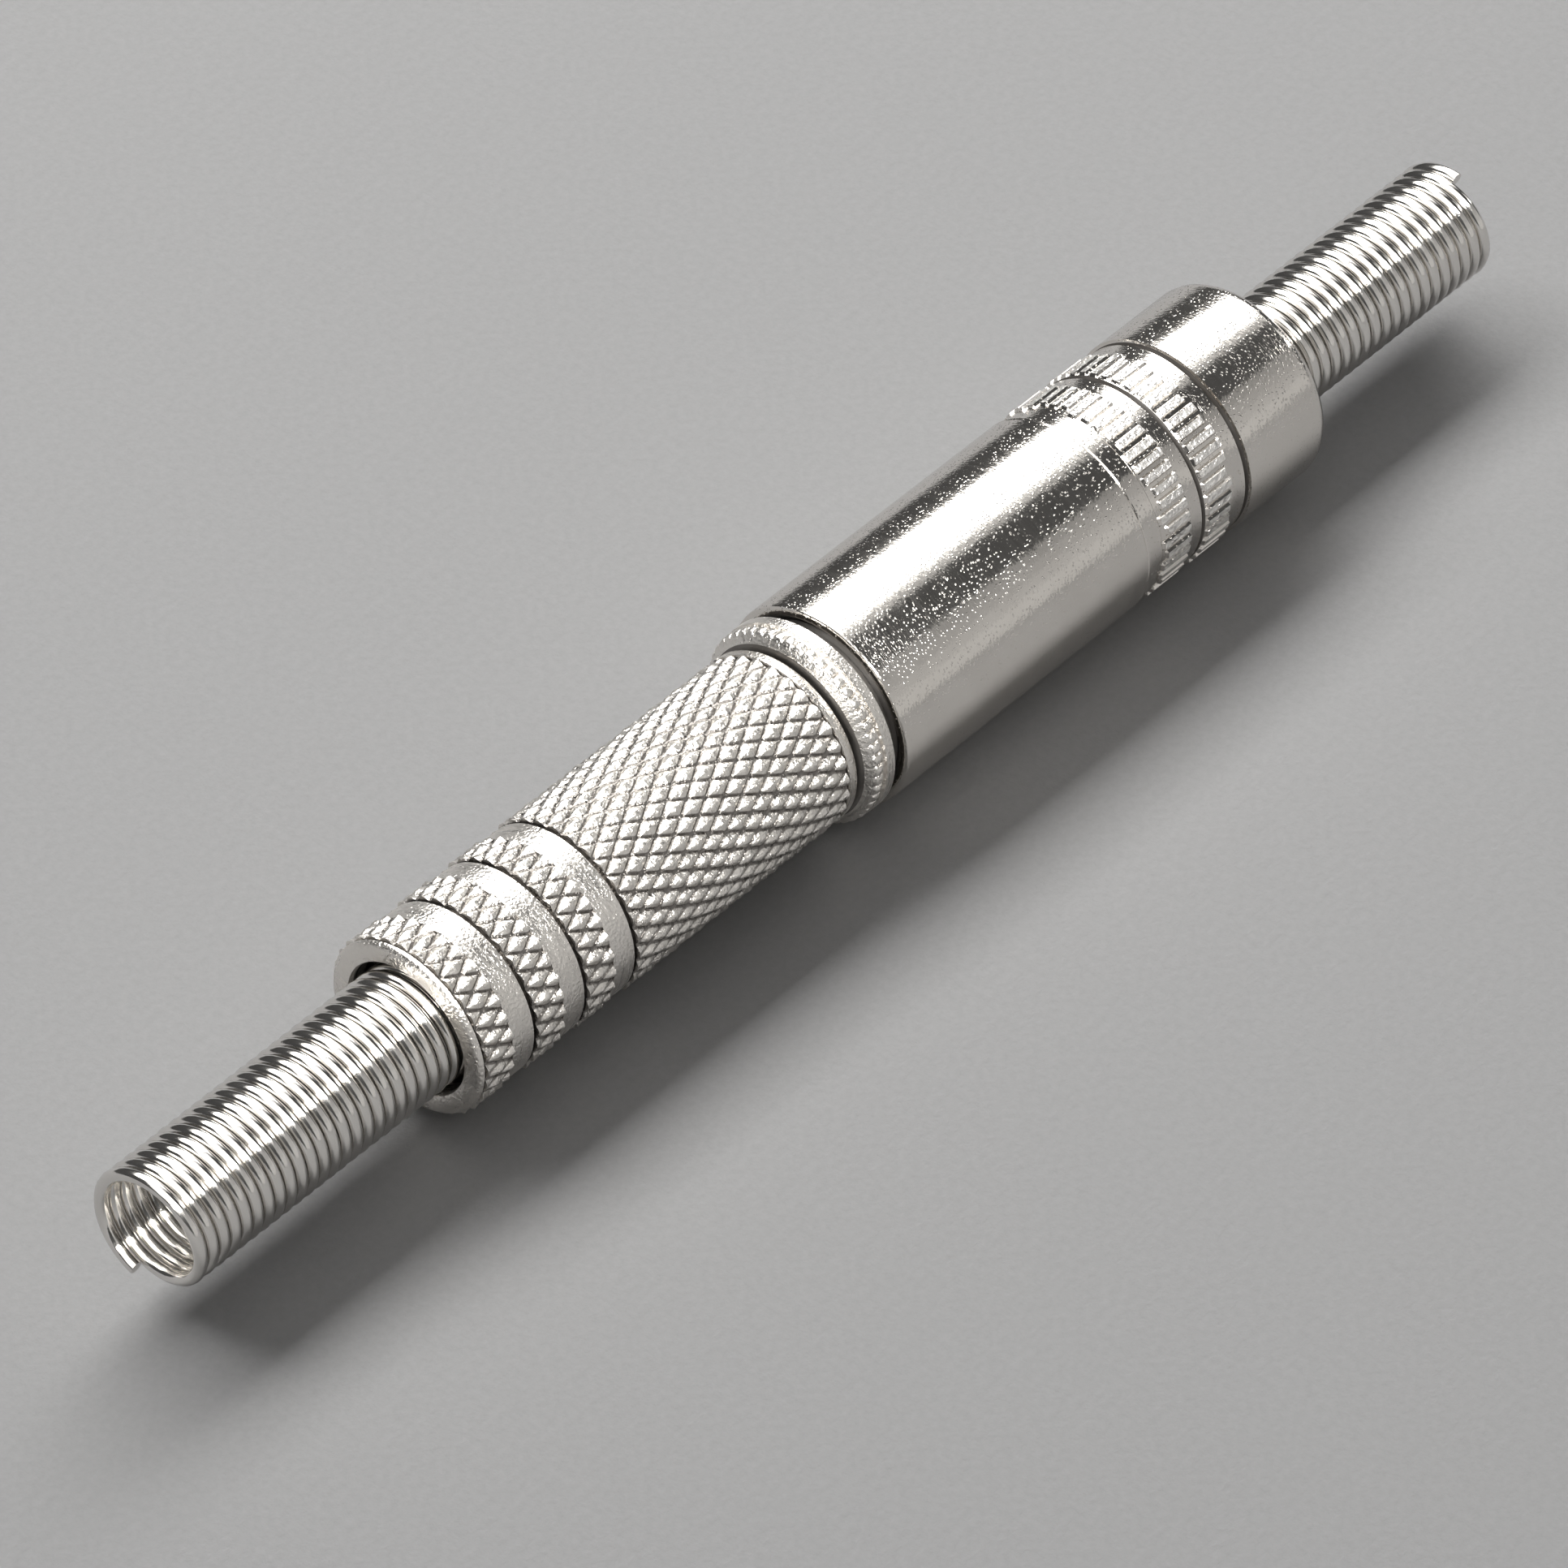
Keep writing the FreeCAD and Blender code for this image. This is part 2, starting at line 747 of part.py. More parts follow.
def strip_outline(line, thickness):
    """Both sides of a bent strip, from its middle line, with mitred bends."""
    sides = [[], []]
    for index, point in enumerate(line):
        before = line[max(index - 1, 0)]
        after = line[min(index + 1, len(line) - 1)]
        incoming = point.sub(before) if index else after.sub(point)
        outgoing = after.sub(point) if index < len(line) - 1 else incoming
        incoming.normalize()
        outgoing.normalize()
        normal = Vector(-incoming.y - outgoing.y, incoming.x + outgoing.x, 0)
        normal.normalize()
        half = thickness / 2 / math.sqrt((1 + incoming.dot(outgoing)) / 2)
        sides[0].append(point.add(Vector(normal).multiply(half)))
        sides[1].append(point.sub(Vector(normal).multiply(half)))
    return sides[0] + sides[1][::-1]


def make_leaf(label, places, heights, side):
    """A contact spring: a strip bent to run in from its solder tail and press on its pole."""
    names = [f"Place{index}" for index in range(len(places))]
    lengths = dict(zip(names, places))
    lengths.update({f"Height{index}": height for index, height in enumerate(heights)})
    lengths["Thickness"] = size.leaf_thickness
    lengths["Width"] = size.leaf_width
    leaf = drive_shape(label, lengths)
    line = []
    for index in range(len(places)):
        place = getattr(leaf, f"Place{index}")
        height = getattr(leaf, f"Height{index}")
        line.append(Vector(place, side * height, 0))
    outline = strip_outline(line, leaf.Thickness)
    edge = [point.sub(Vector(0, 0, leaf.Width / 2)) for point in outline]
    leaf.Shape = Part.Face(Part.makePolygon(edge + edge[:1])).extrude(Vector(0, 0, leaf.Width))
    return leaf


def make_jack_ring_spring():
    """Leaf spring on the +Y side, pressing on the middle of the plug's ring."""
    touch = ring_start + size.ring_length / 2
    touch_height = size.pin_radius + size.touch_gap + size.leaf_thickness / 2
    lift = (leaf_height - touch_height) * size.ring_leaf_lift
    places = [tab_end, touch + size.ring_leaf_slope, touch, touch - size.ring_leaf_end]
    heights = [leaf_height, leaf_height, touch_height, touch_height + lift]
    return make_leaf("jack_ring_spring", places, heights, 1)


def make_jack_tip_spring():
    """Leaf spring on the -Y side, passing over the bulb and pressing into the tip's notch."""
    notch_height = size.notch_radius + size.touch_gap + size.leaf_thickness
    bulb_height = size.bulb_radius + size.touch_gap + size.leaf_thickness / 2
    end_height = size.pin_radius + size.touch_gap + size.leaf_thickness
    bend = bulb_end + size.tip_leaf_slope
    places = [tab_end, bend, bulb_end, notch_place, tip_start + size.tip_rim_length]
    heights = [leaf_height, leaf_height, bulb_height, notch_height, end_height]
    return make_leaf("jack_tip_spring", places, heights, -1)


def make_coil(label, mouth, shoulder, inner_end, radius, flare_radius):
    """A close-wound spring as a plain sleeve, one wire thick, with a wider end inside its barrel."""
    body = new_body(label)
    inner = radius - size.wire_diameter
    turn(body, "CoilSleeve", [
        (mouth, inner),
        (inner_end, inner),
        (inner_end, flare_radius),
        (shoulder, flare_radius),
        (shoulder, radius),
        (mouth, radius),
    ])
    return body


def make_plug_spring():
    """The plug's strain relief, whose wide end rests behind the handle's rear wall."""
    shoulder = handle_chamber_end + size.face_gap
    return make_coil("plug_spring", plug_mouth, shoulder, shoulder + size.flare_length,
                     size.plug_coil_radius, plug_thread_bore - size.plug_flare_clearance)


def make_jack_spring():
    """The jack's strain relief, whose wide end rests behind the shell's rear wall."""
    shoulder = shell_chamber_end - size.face_gap
    return make_coil("jack_spring", jack_mouth, shoulder, jack_spring_end,
                     size.jack_coil_radius, shell_thread_bore - size.jack_flare_clearance)


def make_plug():
    """The plug's pieces, from its pin back to its strain relief."""
    outer_hole = size.stem_radius + size.press_clearance
    inner_hole = size.rod_radius + size.press_clearance
    liner_front = spigot_back - size.peened_end
    liner_back = plug_clamp_end - size.plug_liner_overhang
    return [
        make_plug_body(),
        make_ring_insulator(),
        make_ring_contact(),
        make_tip_insulator(),
        make_tip_contact(),
        make_plain_tube("plug_outer_washer", outer_washer_back, spigot_back,
                        outer_hole, size.outer_washer_radius),
        make_plain_tube("plug_inner_washer", inner_washer_back, stem_back,
                        inner_hole, size.inner_washer_radius),
        make_eye_lug("plug_ring_lug", outer_washer_back, ring_lug_back, outer_hole,
                     size.ring_eye_radius, size.ring_tab_width, size.ring_tab_length, 1),
        make_eye_lug("plug_tip_lug", inner_washer_back, tip_lug_back, inner_hole,
                     size.tip_eye_radius, size.tip_tab_width, size.tip_tab_length, -1),
        make_plug_ground_lug(),
        make_plain_tube("plug_liner", liner_back, liner_front, plug_liner_inner, plug_liner_outer),
        make_plug_handle(),
        make_plug_spring(),
    ]


def make_jack():
    """The jack's pieces, from its bush back to its strain relief."""
    liner_front = insulator_front + size.jack_liner_start
    return [
        make_jack_bush(),
        make_jack_insulator(),
        make_jack_end_cap(),
        make_jack_ring_spring(),
        make_jack_tip_spring(),
        make_jack_ground_lug(),
        make_plain_tube("jack_liner", liner_front, jack_clamp_end, jack_liner_inner, jack_liner_outer),
        make_jack_shell(),
        make_jack_spring(),
    ]


pieces = make_plug() + make_jack()
for piece in pieces:
    lay_down(piece)
document.recompute()

faults = [thing.Name for thing in document.Objects if {"Invalid", "Error"} & set(thing.State)]
if faults:
    raise RuntimeError("these objects failed: " + ", ".join(faults))
for piece in pieces:
    if piece.Shape.isNull() or not piece.Shape.isValid():
        raise RuntimeError(f"{piece.Label} has no valid shape")

os.makedirs("parts", exist_ok=True)
for piece in pieces:
    piece.Shape.exportStep(f"parts/{piece.Label}.step")
print(f"{len(pieces)} pieces written")
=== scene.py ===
import json
import math
import random

import bmesh
import bpy
from mathutils import Matrix, Vector, noise


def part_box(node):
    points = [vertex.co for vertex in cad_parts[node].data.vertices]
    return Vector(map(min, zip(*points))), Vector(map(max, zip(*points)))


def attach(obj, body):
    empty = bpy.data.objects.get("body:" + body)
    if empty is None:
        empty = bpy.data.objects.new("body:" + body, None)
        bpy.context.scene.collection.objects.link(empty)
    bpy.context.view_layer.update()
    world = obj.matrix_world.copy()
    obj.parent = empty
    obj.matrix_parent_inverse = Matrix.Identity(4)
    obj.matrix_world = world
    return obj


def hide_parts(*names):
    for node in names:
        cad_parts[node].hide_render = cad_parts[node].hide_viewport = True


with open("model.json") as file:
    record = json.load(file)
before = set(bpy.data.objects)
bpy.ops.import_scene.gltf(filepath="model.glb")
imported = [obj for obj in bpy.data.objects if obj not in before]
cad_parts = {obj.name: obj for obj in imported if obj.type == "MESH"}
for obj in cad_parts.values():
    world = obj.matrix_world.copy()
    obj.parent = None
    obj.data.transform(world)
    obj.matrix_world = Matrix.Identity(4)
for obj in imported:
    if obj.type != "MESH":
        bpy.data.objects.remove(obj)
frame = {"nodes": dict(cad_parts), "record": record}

scene = bpy.context.scene
nodes = frame["nodes"]
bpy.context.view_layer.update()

# The camera looks down on the pair from the plug's end and from its right-hand side,
# through a long lens that leaves hardly any perspective.
camera_data = bpy.data.cameras.new("long_lens")
camera_data.sensor_width = 36
camera_data.lens = 252.3
camera_data.clip_start = 0.02
camera_data.clip_end = 20
camera = bpy.data.objects.new("camera", camera_data)
aim = Vector((-0.0051, -0.0020, 0.0049))
turned = math.radians(-48.79)
raised = math.radians(43.33)
back = Vector((
    math.sin(turned) * math.cos(raised),
    -math.cos(turned) * math.cos(raised),
    math.sin(raised),
))
camera_distance = 0.4576
camera.location = aim + back * camera_distance
camera.rotation_mode = "QUATERNION"
camera.rotation_quaternion = (-back).to_track_quat("-Z", "Y")
scene.collection.objects.link(camera)
scene.camera = camera
scene.view_settings.view_transform = "Standard"


# The table is a plain pale board, and the pair lies on it with the jack's barrel touching.
# One long soft panel hangs over it on the far side and lights the table. Dimmer borders
# round it, sheets, two bright strips and a few dim cards are there for the metal to mirror.
class Signal:
    """The output of a shader node, which can be used in sums or fed to another node."""

    def __init__(self, tree, socket):
        self.tree = tree
        self.socket = socket

    def feed(self, kind, inputs, output=0, **settings):
        """Any other node, with its inputs filled from signals or plain values."""
        node = self.tree.nodes.new(kind)
        for name, value in settings.items():
            setattr(node, name, value)
        for name, value in inputs.items():
            if isinstance(value, Signal):
                self.tree.links.new(value.socket, node.inputs[name])
            else:
                node.inputs[name].default_value = value
        return Signal(self.tree, node.outputs[output])

    def figure(self, operation, left, right):
        return self.feed("ShaderNodeMath", {0: left, 1: right}, operation=operation)

    def __add__(self, other):
        return self.figure("ADD", self, other)

    def __rsub__(self, other):
        return self.figure("SUBTRACT", other, self)

    def __mul__(self, other):
        return self.figure("MULTIPLY", self, other)

    __radd__ = __add__
    __rmul__ = __mul__

    def limited(self, low, high):
        """0 where this is at low and 1 where it is at high, with a straight ramp between."""
        return self.feed("ShaderNodeMapRange", {0: self, 1: low, 2: high})

    def scaled(self, factors):
        """A place with its X, Y and Z multiplied, which stretches any pattern made on it."""
        return self.feed("ShaderNodeVectorMath", {0: self, 1: factors}, operation="MULTIPLY")

    def mottle(self, scale, detail=2.0, roughness=0.5):
        inputs = {"Vector": self, "Scale": scale, "Detail": detail, "Roughness": roughness}
        return self.feed("ShaderNodeTexNoise", inputs)

    def between(self, first, second):
        """A mix of two colours, the second where this is 1."""
        return self.feed("ShaderNodeMix", {0: self, 6: first, 7: second}, output=2,
                         data_type="RGBA")

    def height(self, distance, below=None):
        """A bump whose full height is that distance in metres, over another one if given."""
        inputs = {"Height": self, "Distance": distance, "Strength": 1.0}
        if below is not None:
            inputs["Normal"] = below
        return self.feed("ShaderNodeBump", inputs)


class Finish:
    """A material, with its place signal and the sockets of its shader."""

    def __init__(self, name, colour, metallic, roughness):
        self.material = bpy.data.materials.new(name)
        self.material.use_nodes = True
        self.tree = self.material.node_tree
        self.shader = self.tree.nodes["Principled BSDF"]
        self.shader.inputs["Base Color"].default_value = (*colour, 1)
        self.shader.inputs["Metallic"].default_value = metallic
        self.shader.inputs["Roughness"].default_value = roughness
        source = self.tree.nodes.new("ShaderNodeTexCoord")
        self.place = Signal(self.tree, source.outputs["Object"])

    def vary(self, **signals):
        """Let signals drive the shader's inputs that are named."""
        for name, signal in signals.items():
            socket = self.shader.inputs[name.replace("_", " ").title()]
            self.tree.links.new(signal.socket, socket)


board = Finish("pale_board", (0.40, 0.40, 0.405), 0.0, 0.85)
board_grain = board.place.mottle(2600, 3, 0.6)
board.vary(
    base_color=board_grain.between((0.36, 0.36, 0.365, 1), (0.44, 0.44, 0.447, 1)),
    normal=board_grain.height(0.00004),
)
table_mesh = bmesh.new()
bmesh.ops.create_grid(table_mesh, x_segments=1, y_segments=1, size=4)
bmesh.ops.translate(table_mesh, vec=(0, 0, -0.00001), verts=table_mesh.verts)
table_data = bpy.data.meshes.new("table")
table_mesh.to_mesh(table_data)
table_mesh.free()
table_data.materials.append(board.material)
table = bpy.data.objects.new("table", table_data)
scene.collection.objects.link(table)

room = bpy.data.worlds.new("dim_room")
room.use_nodes = True
room.node_tree.nodes["Background"].inputs["Color"].default_value = (0.07, 0.07, 0.07, 1)
scene.world = room


def hang_panel(name, low, high, start, end, radiance, colour, on_floor=False):
    """A soft panel beside the pair, seen from it between two angles above the far horizon.

    Start and end say how far it reaches along the pair. The weak ones leave the floor alone.
    """
    distance = 0.6
    middle = math.radians((low + high) / 2)
    half = math.radians((high - low) / 2)
    data = bpy.data.lights.new(name, "AREA")
    data.shape = "RECTANGLE"
    data.size = end - start
    data.size_y = 2 * distance * math.tan(half)
    data.color = colour
    data.energy = radiance * math.pi * data.size * data.size_y
    panel = bpy.data.objects.new(name, data)
    away = Vector((0, math.cos(middle), math.sin(middle)))
    panel.location = Vector(((start + end) / 2, 0, 0)) + away * distance
    panel.rotation_mode = "QUATERNION"
    panel.rotation_quaternion = (-away).to_track_quat("-Z", "Y")
    panel.visible_camera = False
    panel.visible_diffuse = on_floor
    scene.collection.objects.link(panel)


warm_white = (1.0, 0.99, 0.97)
card_white = (1.0, 0.985, 0.96)
beside = (-0.3, 1.0)
hang_panel("soft_panel", 43, 67, *beside, 6.4, warm_white, on_floor=True)
hang_panel("panel_rim", 40, 85, *beside, 1.4, warm_white)
hang_panel("panel_fringe", 37, 94, *beside, 0.5, warm_white)
hang_panel("left_sheet", 60, 90, -1.8, -0.3, 2.4, warm_white)
hang_panel("overhead_sheet", 88, 121, -1.6, 0.07, 2.4, warm_white)
hang_panel("near_strip", 121, 133, -2.2, 0.07, 18.0, warm_white)
hang_panel("far_strip", 121, 131, 0.86, 2.4, 8.0, warm_white)
hang_panel("far_sheet", 101, 121, 0.86, 2.4, 1.0, warm_white)
cards_end = 181
for number, (start_angle, radiance) in enumerate(((131, 0.28), (142, 0.09), (153, 0.09), (164, 0.09))):
    hang_panel(f"card_{number}", start_angle, cards_end, *beside, radiance, card_white)

# The pin's poles are turned brass under bright nickel: the ring between its two black
# insulating collars, and the tip with its notch and rounded nose. A rod and a tube inside
# carry them back through the plug.
mm = 0.001
axis_height = frame["record"]["mounts"][0]["pos_m"][2]


def span(name):
    """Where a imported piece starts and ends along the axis, and its radius, in millimetres."""
    low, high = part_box(name)
    return low.x / mm, high.x / mm, (high.z - low.z) / 2 / mm


def lathe(corners, steps, softened=()):
    """Spin an outline of places along the axis and radii, with the named corners rounded."""
    turning = bmesh.new()
    points = [turning.verts.new((place, 0, radius)) for place, radius in corners]
    ends = list(zip(points, points[1:]))
    if corners[0][1] > 0:
        ends.append((points[-1], points[0]))
    for pair in ends:
        turning.edges.new(pair)
    for corner, width in softened:
        bmesh.ops.bevel(turning, geom=[points[corner]], offset=width, offset_type="OFFSET",
                        segments=4, profile=0.5, affect="VERTICES", material=-1)
    bmesh.ops.spin(turning, geom=turning.verts[:] + turning.edges[:], cent=(0, 0, 0),
                   axis=(1, 0, 0), dvec=(0, 0, 0), angle=math.tau, steps=steps,
                   use_merge=True, use_duplicate=False)
    bmesh.ops.remove_doubles(turning, verts=turning.verts, dist=0.0005)
    return turning


def columns(start, end, count):
    """Evenly spaced places from start to end."""
    return [start + (end - start) * step / count for step in range(count + 1)]


def finish_piece(making, name, finish, body, replaced, sharp=32):
    """Turn a mesh made in millimetres round its own axis into a finished piece in its place."""
    bmesh.ops.recalc_face_normals(making, faces=making.faces)
    bmesh.ops.scale(making, vec=(mm, mm, mm), verts=making.verts)
    bmesh.ops.translate(making, vec=(0, 0, axis_height), verts=making.verts)
    for face in making.faces:
        face.smooth = True
    data = bpy.data.meshes.new(name)
    making.to_mesh(data)
    making.free()
    data.set_sharp_from_angle(angle=math.radians(sharp))
    data.materials.append(finish.material)
    piece = bpy.data.objects.new(name, data)
    scene.collection.objects.link(piece)
    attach(piece, body)
    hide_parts(*replaced)
    return piece


def dress(finish, *names):
    """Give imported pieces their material."""
    for name in names:
        nodes[name].material_slots[0].material = finish.material


def turned_metal(name, bright, dark, roughness, line, depth, grain, pits, along=12000, across=5000):
    """Bright metal with lathe lines round the axis, a fine grain, and sparse pits in its plating."""
    metal = Finish(name, bright, 1.0, roughness)
    lines = metal.place.scaled((line, 380, 380)).mottle(1.0, 3, 0.65)
    cloud = metal.place.mottle(420, 2)
    seeds = metal.place.feed("ShaderNodeTexVoronoi", {"Vector": metal.place, "Scale": 6500.0})
    crowd = metal.place.mottle(1500, 2).limited(0.27, 0.5)
    pit = (1 - seeds.limited(0.0, 0.32)) * crowd
    relief = lines.height(depth)
    if grain:
        specks = metal.place.scaled((along, across, across)).mottle(1.0, 1)
        relief = specks.height(grain, below=relief)
    metal.vary(
        base_color=cloud.limited(0.3, 0.75).between((*dark, 1), (*bright, 1)),
        roughness=roughness * (0.4 + lines * 1.2),
        normal=pit.height(pits, below=relief),
    )
    return metal


bright_nickel = turned_metal("bright_nickel", (0.73, 0.70, 0.66), (0.69, 0.66, 0.62), 0.14,
                             8000, 0.0000008, 0.000011, 0.000014, across=3600)
# A dark, rough nickel that paints the shade falling in slots, grooves and bevels into their colour.
painted_recess_shade = turned_metal("painted_recess_shade", (0.20, 0.19, 0.18), (0.12, 0.11, 0.10), 0.5,
                           6000, 0.000001, 0.000004, 0.000002)
black_plastic = Finish("black_moulding", (0.028, 0.028, 0.030), 0.0, 0.42)
black_grain = black_plastic.place.mottle(9000, 3)
black_plastic.vary(
    base_color=black_grain.between((0.022, 0.022, 0.024, 1), (0.036, 0.036, 0.038, 1)),
    roughness=0.34 + black_grain * 0.18,
    normal=black_grain.height(0.000004),
)
dress(bright_nickel, "plug_ring_contact")
dress(black_plastic, "plug_ring_insulator", "plug_tip_insulator")

tip_back, tip_front = span("plug_tip_contact")[:2]
pin_radius = 1.75
rim_back = tip_front - 3.7
rod_radius = 0.35
rivet_radius = 0.6
notch_radius = 1.15
nose_radius = 1.62
tip_mesh = lathe([
    (tip_back, 0), (tip_back, rivet_radius), (tip_back + 0.2, rivet_radius), (tip_back + 0.2, rod_radius),
    (rim_back, rod_radius), (rim_back, pin_radius), (rim_back + 0.25, pin_radius),
    (rim_back + 1.15, notch_radius), (rim_back + 2.25, nose_radius), (rim_back + 2.4, nose_radius),
    (tip_front, 0.6), (tip_front, 0),
], 64, ((1, 0.08), (5, 0.05), (6, 0.1), (7, 0.3), (8, 0.35), (10, 0.45)))
finish_piece(tip_mesh, "pin_tip", bright_nickel, "plug_core", ["plug_tip_contact"])

# The plug's body is one brass turning under nickel: the pin's sleeve, polished so that it
# slides, a shoulder that meets the jack, a collar with a ring of small beads pressed round
# its rear edge, and a threaded boss.
thread_pitch = 0.75


def cut_thread(making, start, end, radius, depth, inward=1):
    """Sink a right-handed thread into the part of a turning that stands at this radius."""
    for vertex in making.verts:
        place, across, up = vertex.co
        reach = math.hypot(across, up)
        if start - 0.001 < place < end + 0.001 and abs(reach - radius) < 0.002:
            turn = place / thread_pitch - math.atan2(up, across) / math.tau
            crest = abs(2 * (turn - math.floor(turn)) - 1)
            sunk = depth * min(1, max(0, 1.5 * crest - 0.25))
            vertex.co = (place, across * (1 - inward * sunk / reach), up * (1 - inward * sunk / reach))


body_back, pin_front, collar_radius = span("plug_body")
shoulder = pin_front - 6.3
neck_length = 0.45
neck_radius = 4.2
collar_front = shoulder - neck_length
collar_back = collar_front - 1.25
cone_back = collar_back - 0.35
cone_radius = 3.95
boss_back = cone_back - 4.3
boss_radius = 3.5
relief_radius = boss_radius - 0.3
sleeve_bore = 1.25
tail_radius = 1.7
bead_count = 52
bead_height = 0.17
bead_start = collar_back
bead_end = collar_back + 0.55
bead_seat = collar_radius - bead_height
boss_places = columns(cone_back - 0.5, boss_back, 40)
body_mesh = lathe(
    [(body_back, sleeve_bore), (pin_front, sleeve_bore), (pin_front, pin_radius), (shoulder, pin_radius),
     (shoulder, neck_radius), (collar_front, neck_radius), (collar_front, collar_radius - 0.12),
     (collar_front - 0.1, collar_radius), (bead_end + 0.12, collar_radius),
     (bead_end + 0.08, bead_seat + 0.01)]
    + [(place, bead_seat) for place in columns(bead_end, bead_start, 7)]
    + [(collar_back - 0.22, 4.25), (cone_back, cone_radius)]
    + [(cone_back, relief_radius), (cone_back - 0.5, relief_radius)]
    + [(place, boss_radius) for place in boss_places]
    + [(boss_back, tail_radius), (body_back, tail_radius)],
    bead_count * 8,
)
for vertex in body_mesh.verts:
    place, across, up = vertex.co
    reach = math.hypot(across, up)
    if bead_start - 0.001 < place < bead_end + 0.001 and abs(reach - bead_seat) < 0.002:
        turn = math.atan2(up, across) / math.tau * bead_count
        round_it = 1 - (2 * (turn - math.floor(turn)) - 1) ** 2
        along = 1 - (2 * (place - bead_start) / (bead_end - bead_start) - 1) ** 2
        grown = 1 + bead_height * math.sqrt(max(0, round_it * along)) / reach
        vertex.co = (place, across * grown, up * grown)
cut_thread(body_mesh, boss_back + 0.1, cone_back - 0.6, boss_radius, 0.28)
frosted_nickel = turned_metal("frosted_nickel", (0.79, 0.76, 0.72), (0.73, 0.70, 0.66), 0.30,
                              6000, 0.0000012, 0.000046, 0.000016, along=7000, across=6500)
# Faces in the neck slot and in the gap behind the collar get the painted shade; the pin's sleeve gets
# bright nickel.
for face in body_mesh.faces:
    middle = face.calc_center_median()
    reach = math.hypot(middle.y, middle.z)
    in_neck = collar_front - 0.01 < middle.x < shoulder - 0.01 and 4.1 < reach < collar_radius - 0.15
    in_gap = cone_back - 0.1 < middle.x < collar_back - 0.23
    if in_neck or in_gap:
        face.material_index = 1
    elif middle.x > shoulder + 0.001:
        face.material_index = 2
turning = finish_piece(body_mesh, "plug_turning", frosted_nickel, "plug_core",
                       ["plug_body"])
turning.data.materials.append(painted_recess_shade.material)
turning.data.materials.append(bright_nickel.material)

# Behind the boss, fibre washers keep three tinned brass lugs apart. The wires are soldered
# to the two eyed tabs and the open barrel is crimped round the cable; a clear film tube
# slides over them all before the handle is screwed on.
fibre = Finish("white_fibre", (0.78, 0.76, 0.69), 0.0, 0.8)
fibre_grain = fibre.place.mottle(5200, 3)
fibre.vary(
    base_color=fibre_grain.between((0.70, 0.68, 0.60, 1), (0.84, 0.82, 0.76, 1)),
    normal=fibre_grain.height(0.00001),
)
tin = Finish("tinned_brass", (0.72, 0.71, 0.67), 1.0, 0.32)
tin_cloud = tin.place.mottle(1500, 4, 0.6)
tin.vary(
    base_color=tin_cloud.between((0.60, 0.58, 0.52, 1), (0.80, 0.79, 0.76, 1)),
    roughness=0.22 + tin_cloud * 0.24,
    normal=tin_cloud.height(0.000008),
)
film = Finish("clear_film", (0.82, 0.80, 0.74), 0.0, 0.35)
film_haze = film.place.scaled((300, 1200, 1200)).mottle(1.0, 2)
film.vary(
    base_color=film_haze.between((0.74, 0.72, 0.64, 1), (0.88, 0.86, 0.80, 1)),
    roughness=0.28 + film_haze * 0.16,
)
dress(fibre, "plug_outer_washer", "plug_inner_washer", "jack_end_cap")
dress(tin, "plug_ring_lug", "plug_tip_lug", "plug_ground_lug", "jack_ground_lug")
dress(film, "plug_liner", "jack_liner")

# The handle is a brass tube with diamond knurling rolled into it, three smooth grooves
# turned across that near the cable, a plain ring at the front, and satin nickel plating.
satin_bright = (0.78, 0.75, 0.71)
satin_dark = (0.71, 0.68, 0.64)
# Dark colour for the knurl's grooves: partly dirt, partly painted shade.
groove_dirt_and_shade = (0.22, 0.205, 0.19, 1)
satin_nickel = turned_metal("satin_nickel", satin_bright, satin_dark, 0.30,
                            5000, 0.0000012, 0.000046, 0.000016, along=7000, across=6500)
handle_back, handle_front, handle_radius = span("plug_handle")
rim_length = 0.35
band_width = 1.62
groove_width = 1.45
groove_radius = handle_radius - 0.15
recess = 0.3
rim_recess = 0.18
from_axis = satin_nickel.place.feed("ShaderNodeVectorMath", {
    0: satin_nickel.place, 1: (0, 0, axis_height)}, operation="SUBTRACT").scaled((0, 1, 1))
from_axis = from_axis.feed("ShaderNodeVectorMath", {0: from_axis}, output="Value", operation="LENGTH")
along_axis = satin_nickel.place.feed("ShaderNodeSeparateXYZ", {0: satin_nickel.place}, output="X")
# Deep in the knurl's V-grooves and recesses the colour turns dark, partly as dirt and partly as painted
# shade; the rear face is kept clear of it.
clear_of_groove_shade = from_axis.limited((groove_radius - 0.05) * mm, (groove_radius - 0.022) * mm)
rear_rim = along_axis.limited((handle_back + 0.30) * mm, (handle_back + 0.28) * mm)
plating = satin_nickel.place.mottle(420, 2).limited(0.3, 0.75).between(
    (*satin_dark, 1), (*satin_bright, 1))
satin_nickel.vary(base_color=(clear_of_groove_shade + rear_rim).between(groove_dirt_and_shade, plating))
ring_length = 0.6
ring_radius = handle_radius - 0.1
knurl_depth = 0.235
knurl_starts = 30
diamond_power = 9
flank_power = 1.6
half_step = math.pi / knurl_starts
steps_round = 8


def ring_at(making, place):
    """The open edges that lie in one plane across the axis."""
    return [edge for edge in making.edges
            if edge.is_boundary and all(abs(end.co.x - place) < 0.002 for end in edge.verts)]


def carry_on(making, edges, place, radius):
    """Extrude an open ring of edges to a new place and radius, and return the new ring."""
    made = bmesh.ops.extrude_edge_only(making, edges=edges)["geom"]
    fresh = {item for item in made if isinstance(item, bmesh.types.BMVert)}
    for vertex in fresh:
        reach = math.hypot(vertex.co.y, vertex.co.z)
        vertex.co = (place, vertex.co.y * radius / reach, vertex.co.z * radius / reach)
    return [item for item in made if isinstance(item, bmesh.types.BMEdge)
            and item.verts[0] in fresh and item.verts[1] in fresh]


